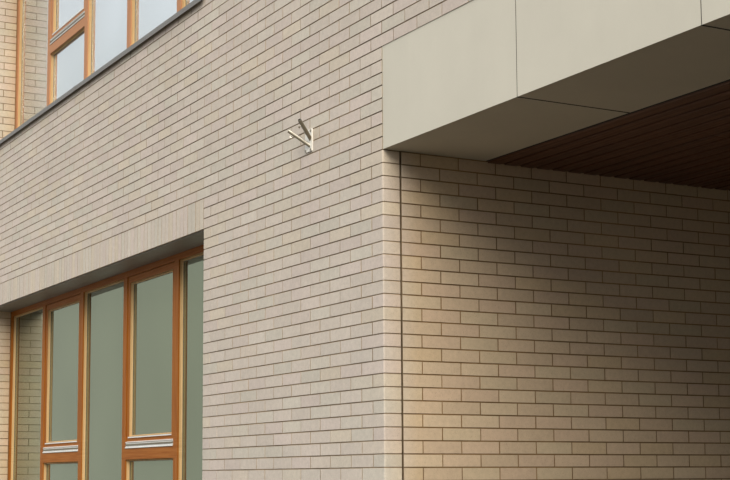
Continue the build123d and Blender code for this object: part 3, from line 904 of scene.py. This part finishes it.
class PorchBricks(bpy.types.Operator):
    """Lay the bricks of the porch walls, behind the movement joint at each corner"""

    bl_idname = "school.porch_bricks"
    bl_label = "Porch bricks"

    def execute(self, context):
        layer = BrickLayer(context.scene.school_brick, 20)
        inset = PORCH_RETURN + MOVEMENT_JOINT
        for way in (1, -1):
            corner = Matrix.Translation((-way * HALF_PORCH, -HALF_DEPTH, 0))
            matrix = corner @ Matrix.Rotation(way * math.pi / 2, 4, "Z")
            for course in range(PAVED_COURSES, PORCH_COURSES):
                low, high = course * COURSE, course * COURSE + COURSE - SHOWN_JOINT
                cuts = marks(0, PORCH_WALL_HALVES, course)
                for a, b in zip(cuts, cuts[1:]):
                    ends = inset + a * HALF, inset + b * HALF - JOINT
                    layer.lay(matrix, *(ends if way > 0 else (-ends[1], -ends[0])), low, high)
        layer.piece("porch_bricks")
        return {"FINISHED"}


class SoldierCourses(bpy.types.Operator):
    """Stand bricks on end over every window"""

    bl_idname = "school.soldier_courses"
    bl_label = "Soldier courses"

    def execute(self, context):
        layer = BrickLayer(context.scene.school_brick, 30)
        for elevation, (first, last, low, high) in all_windows():
            length = (last - first) * HALF
            count = round(length / COURSE)
            pitch = length / count
            for index in range(count):
                start = first * HALF + index * pitch
                z = high * COURSE, (high + SOLDIER_COURSES) * COURSE - SHOWN_JOINT
                layer.lay(elevation.matrix, start, start + pitch - JOINT, *z)
        layer.piece("soldier_bricks")
        return {"FINISHED"}


def window_lights(opening):
    """((left, right), (low, high)) of every pane, and ((left, right), low) of the rail of a sash."""
    first, last, low, high = opening
    left, right = first * HALF - JOINT, last * HALF
    count = LIGHTS[last - first]
    pitch = (right - left) / count
    bottom, top = low * COURSE, high * COURSE
    for index in range(count):
        a = left + index * pitch + (FRAME_FACE if index == 0 else MULLION / 2)
        b = left + (index + 1) * pitch - (FRAME_FACE if index == count - 1 else MULLION / 2)
        low_pane, head = bottom + FRAME_FOOT, top - FRAME_FACE
        if index % 2 == 0:
            yield (a, b), (low_pane, head), None
            continue
        yield (a, b), (low_pane, bottom + TRANSOM_RISE), None
        foot = bottom + TRANSOM_RISE + TRANSOM
        rail = (a + SASH_CLEARANCE, b - SASH_CLEARANCE), foot + SASH_CLEARANCE
        yield (a + SASH_FACE, b - SASH_FACE), (foot + SASH_FOOT, head - SASH_FACE), rail


def all_windows():
    for elevation in ELEVATIONS.values():
        for opening in elevation.windows:
            yield elevation, opening


class GlazingTrim(bpy.types.Operator):
    """Put a timber bead and a rubber gasket round every pane, and a seal in every drip rail"""

    bl_idname = "school.glazing_trim"
    bl_label = "Glazing trim"

    def execute(self, context):
        beads, gaskets = bmesh.new(), bmesh.new()
        glass = FRAME_FRONT + GLASS_SET_BACK
        for elevation, opening in all_windows():
            for x, z, rail in window_lights(opening):
                add_ring(
                    beads, (x[0], z[0]), (x[1], z[1]), BEAD_WIDTH,
                    glass - BEAD_DEPTH, glass - BEAD_GAP, BEAD_CHAMFER, elevation.matrix,
                )
                add_ring(
                    gaskets, (x[0] + GASKET_INSET, z[0] + GASKET_INSET),
                    (x[1] - GASKET_INSET, z[1] - GASKET_INSET), GASKET_WIDTH,
                    glass - GASKET_DEPTH, glass - GASKET_GAP, SEAL_CHAMFER, elevation.matrix,
                )
                if rail:
                    (a, b), foot = rail
                    low, high = (foot + edge for edge in RAIL_GROOVE)
                    add_block(
                        gaskets, (a + SEAL_MARGIN, RAIL_GROOVE_BACK - SEAL_DEPTH, low + SEAL_MARGIN),
                        (b - SEAL_MARGIN, RAIL_GROOVE_BACK, high - SEAL_MARGIN), SEAL_CHAMFER,
                        elevation.matrix,
                    )
        finish_piece(beads, "glazing_beads", "stained_timber_finish")
        finish_piece(gaskets, "glazing_gaskets", "gasket_finish")
        return {"FINISHED"}


class SillTrim(bpy.types.Operator):
    """Lap the middle of every sill and turn up its ends"""

    bl_idname = "school.sill_trim"
    bl_label = "Sill trim"

    def execute(self, context):
        bm = bmesh.new()
        for elevation, (first, last, low, high) in all_windows():
            left, right, z = first * HALF - JOINT, last * HALF, low * COURSE
            middle = (left + right) / 2
            slope = Matrix.Rotation(math.atan2(SILL_FALL, SILL_RUN), 4, "X")
            place = elevation.matrix @ Matrix.Translation((0, -SILL_NOSE, z + SILL_SHEET)) @ slope
            a, b = middle - SILL_LAP / 2, middle + SILL_LAP / 2
            add_block(bm, (a, -0.001, 0.0), (b, SILL_BACK, SILL_SHEET), SHEET_CHAMFER, place)
            add_block(
                bm, (a, -SILL_NOSE - SILL_SHEET, z - SILL_LIP), (b, -SILL_NOSE, z + SILL_LAP_RISE),
                SHEET_CHAMFER, elevation.matrix,
            )
            for x in (left + SILL_END, right - SILL_END):
                a, b = x - SILL_SHEET / 2, x + SILL_SHEET / 2
                add_block(bm, (a, 0.0, 0.0), (b, SILL_BACK, SILL_UPSTAND), SHEET_CHAMFER, place)
        finish_piece(bm, "sill_laps", "grey_sheet_finish")
        return {"FINISHED"}


class SoffitBoards(bpy.types.Operator):
    """Board the ceiling of the porch, along the front"""

    bl_idname = "school.soffit_boards"
    bl_label = "Soffit boards"

    def execute(self, context):
        settings = context.scene.school_timber
        low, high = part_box("porch_ceiling")
        count = round((high.y - low.y) / settings.board_pitch)
        pitch = (high.y - low.y) / count
        bm = bmesh.new()
        rows = random.Random(5)
        for index in range(count):
            y = low.y + index * pitch
            joint = rows.uniform(-0.6, 0.6) * HALF_PORCH
            left_end, right_start = joint - BOARD_BUTT_JOINT / 2, joint + BOARD_BUTT_JOINT / 2
            for a, b in ((low.x, left_end), (right_start, high.x)):
                add_block(
                    bm, (a, y + settings.board_gap / 2, low.z - BOARD_THICKNESS),
                    (b, y + pitch - settings.board_gap / 2, low.z), BOARD_CHAMFER,
                )
        finish_piece(bm, "soffit_boards", "soffit_board_finish")
        return {"FINISHED"}


class FasciaTrim(bpy.types.Operator):
    """Fill the joints between the fascia panels and at both ends of the fascia with sealant, near
    black: partly real sealant, partly painted shadow
    """

    bl_idname = "school.fascia_trim"
    bl_label = "Fascia joints"

    def execute(self, context):
        low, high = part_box("fascia_panels")
        bm = bmesh.new()
        for index in range(1, FASCIA_PANELS):
            x = low.x + index * (high.x - low.x) / FASCIA_PANELS
            half = SEALANT_WIDTH / 2
            add_block(
                bm, (x - half, low.y + SEALANT_SET_BACK, low.z + SEALANT_SET_BACK),
                (x + half, low.y + SEALANT_DEPTH, high.z),
            )
            add_block(
                bm, (x - SEALANT_WIDTH, low.y + 2 * SEALANT_SET_BACK, low.z - 0.001),
                (x + SEALANT_WIDTH, high.y, low.z + SEALANT_DEPTH),
            )
        # Painted shadow: a near black strip at each end of the fascia face
        front = -HALF_DEPTH - 0.7 * context.scene.school_brick.proud
        for side in (-1, 1):
            edge = side * HALF_PORCH
            ends = sorted((edge, edge + side * FASCIA_EDGE_JOINT))
            add_block(bm, (ends[0], front, low.z), (ends[1], -HALF_DEPTH, high.z))
        finish_piece(bm, "fascia_joints", "backing_finish")
        return {"FINISHED"}


class CopingJoints(bpy.types.Operator):
    """Cover the joints between the lengths of coping"""

    bl_idname = "school.coping_joints"
    bl_label = "Coping joints"

    def execute(self, context):
        low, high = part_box("parapet_coping")
        long_count, short_count = COPING_LENGTHS
        half, across = COPING_COVER / 2, COPING_WIDTH + COPING_SHEET
        top = high.z + COPING_SHEET
        bm = bmesh.new()
        for side in (0, 1):
            for step in range(1, long_count):
                x = low.x + step * (high.x - low.x) / long_count
                y = low.y if side == 0 else high.y - COPING_WIDTH
                add_block(bm, (x - half, y - COPING_SHEET, high.z), (x + half, y + across, top))
            for step in range(1, short_count):
                y = low.y + step * (high.y - low.y) / short_count
                x = low.x if side == 0 else high.x - COPING_WIDTH
                add_block(bm, (x - COPING_SHEET, y - half, high.z), (x + across, y + half, top))
        finish_piece(bm, "coping_joints", "grey_sheet_finish")
        return {"FINISHED"}


class RoofSeams(bpy.types.Operator):
    """Lap the roofing sheet every metre"""

    bl_idname = "school.roof_seams"
    bl_label = "Roof seams"

    def execute(self, context):
        low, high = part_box("roof_covering")
        bm = bmesh.new()
        for index in range(1, ROOF_STRIPS):
            x = low.x + index * (high.x - low.x) / ROOF_STRIPS
            left, right = x - ROOF_LAP / 2, x + ROOF_LAP / 2
            add_block(bm, (left, low.y, high.z), (right, high.y, high.z + ROOF_SHEET), ROOF_CHAMFER)
        finish_piece(bm, "roof_seams", "roofing_finish")
        return {"FINISHED"}


class HolderBolts(bpy.types.Operator):
    """Bolt the flag holder to the wall and put a wing screw near the end of each tube"""

    bl_idname = "school.holder_bolts"
    bl_label = "Flag holder bolts"

    def execute(self, context):
        bm = bmesh.new()
        turn = Matrix.Rotation(math.pi / 2, 4, "X")
        y = HOLDER.y - HOLDER_PLATE - BOLT_HEIGHT / 2
        for x in (HOLDER.x - BOLT_ACROSS, HOLDER.x + BOLT_ACROSS):
            for z in (HOLDER.z - BOLT_UP, HOLDER.z + BOLT_UP):
                add_prism(bm, 6, BOLT_RADIUS, BOLT_HEIGHT, Matrix.Translation((x, y, z)) @ turn)
        lean = Matrix.Rotation(math.radians(HOLDER_LEAN), 4, "X")
        for side, drop in ((-1, HOLDER_STEP), (1, 0.0)):
            foot = Matrix.Translation(HOLDER + Vector((HOLDER_FOOT, 0, -drop))) @ lean
            foot = foot @ Matrix.Rotation(math.radians(side * HOLDER_SPREAD), 4, "Y")
            screw = foot @ Matrix.Translation((0, -TUBE_RADIUS, TUBE_LENGTH - SCREW_FROM_END))
            shank = screw @ Matrix.Translation((0, -SCREW_SHIFT, 0)) @ turn
            add_prism(bm, 12, SCREW_RADIUS, SCREW_LENGTH, shank)
            add_block(bm, WING_LOW, WING_HIGH, SHEET_CHAMFER, screw)
        finish_piece(bm, "holder_bolts", "galvanised_finish")
        return {"FINISHED"}


class Stage(bpy.types.Operator):
    """Set the floor, the soft light and the camera"""

    bl_idname = "school.stage"
    bl_label = "Stage"

    def execute(self, context):
        scene = context.scene
        settings = scene.school_stage
        self.floor(settings)
        self.world(scene, settings)
        self.lamp(settings)
        self.camera(scene)
        scene.view_settings.view_transform = "Standard"
        return {"FINISHED"}

    def floor(self, settings):
        bm = bmesh.new()
        bmesh.ops.create_grid(bm, x_segments=1, y_segments=1, size=FLOOR_REACH)
        mesh = bpy.data.meshes.new("floor")
        bm.to_mesh(mesh)
        bm.free()
        floor = bpy.data.objects.new("floor", mesh)
        floor.location.z = -FLOOR_DROP
        bpy.context.scene.collection.objects.link(floor)
        f = Finish("floor_finish")
        tone = f.mix(f.seen(), tuple(settings.bounce), tuple(settings.floor))
        mesh.materials.append(f.surface(base_color=tone, roughness=0.9))

    def world(self, scene, settings):
        world = bpy.data.worlds.new("studio")
        world.use_nodes = True
        nodes = Nodes(world.node_tree)
        background = world.node_tree.nodes["Background"]
        seen = nodes.seen()
        level = settings.sky * nodes.spread(nodes.axis("Z"), 0.05, 0.50, 0.70, 1.30)
        even = nodes.shade((0.96, 0.98, 1.0), level)
        height = nodes.spread(nodes.axis("Z"), 0.12, 0.30)
        pale = nodes.mix(height, tuple(settings.horizon), tuple(settings.backdrop))
        nodes.feed(background.inputs["Color"], nodes.mix(seen, even, pale))
        scene.world = world

    def lamp(self, settings):
        data = bpy.data.lights.new("key", "SUN")
        data.angle = math.radians(LAMP_SPREAD)
        data.energy = settings.key
        data.color = LAMP_COLOUR
        lamp = bpy.data.objects.new("key", data)
        lamp.rotation_euler = Vector(LAMP_FROM).to_track_quat("Z", "Y").to_euler()
        bpy.context.scene.collection.objects.link(lamp)

    def camera(self, scene):
        data = bpy.data.cameras.new("camera")
        data.sensor_width = 36.0
        data.lens = CAMERA_LENS
        data.shift_y = CAMERA_SHIFT
        data.clip_end = 2000.0
        camera = bpy.data.objects.new("camera", data)
        level = math.cos(CAMERA_PITCH)
        look = Vector((
            math.cos(CAMERA_HEADING) * level, math.sin(CAMERA_HEADING) * level, math.sin(CAMERA_PITCH)
        ))
        roll = Matrix.Rotation(CAMERA_ROLL, 4, "Z")
        turn = look.to_track_quat("-Z", "Y").to_matrix().to_4x4() @ roll
        camera.matrix_world = Matrix.Translation(CAMERA_PLACE) @ turn
        scene.collection.objects.link(camera)
        scene.camera = camera


PIECES = (
    Painted, FacingBricks, PorchBricks, SoldierCourses, GlazingTrim, SillTrim, SoffitBoards,
    FasciaTrim, CopingJoints, RoofSeams, HolderBolts, Stage,
)
SETTINGS = {
    "school_brick": BrickSettings,
    "school_timber": TimberSettings,
    "school_sheet": SheetSettings,
    "school_stage": StageSettings,
}


class SchoolPanel(bpy.types.Panel):
    """Sizes, colours and steps of the school building"""

    bl_idname = "SCHOOL_PT_panel"
    bl_label = "School building"
    bl_space_type = "VIEW_3D"
    bl_region_type = "UI"
    bl_category = "School"

    def draw(self, context):
        for name in SETTINGS:
            column = self.layout.column()
            group = getattr(context.scene, name)
            for key in group.__annotations__:
                column.prop(group, key)
        for operator in PIECES:
            self.layout.operator(operator.bl_idname)


def register():
    for group in (*SETTINGS.values(), *PIECES, SchoolPanel):
        bpy.utils.register_class(group)
    for name, group in SETTINGS.items():
        setattr(bpy.types.Scene, name, PointerProperty(type=group))


def unregister():
    for name in SETTINGS:
        delattr(bpy.types.Scene, name)
    for group in reversed((*SETTINGS.values(), *PIECES, SchoolPanel)):
        bpy.utils.unregister_class(group)


def main():
    register()
    for operator in PIECES:
        category, name = operator.bl_idname.split(".")
        getattr(getattr(bpy.ops, category), name)()


if __name__ == "__main__":
    main()
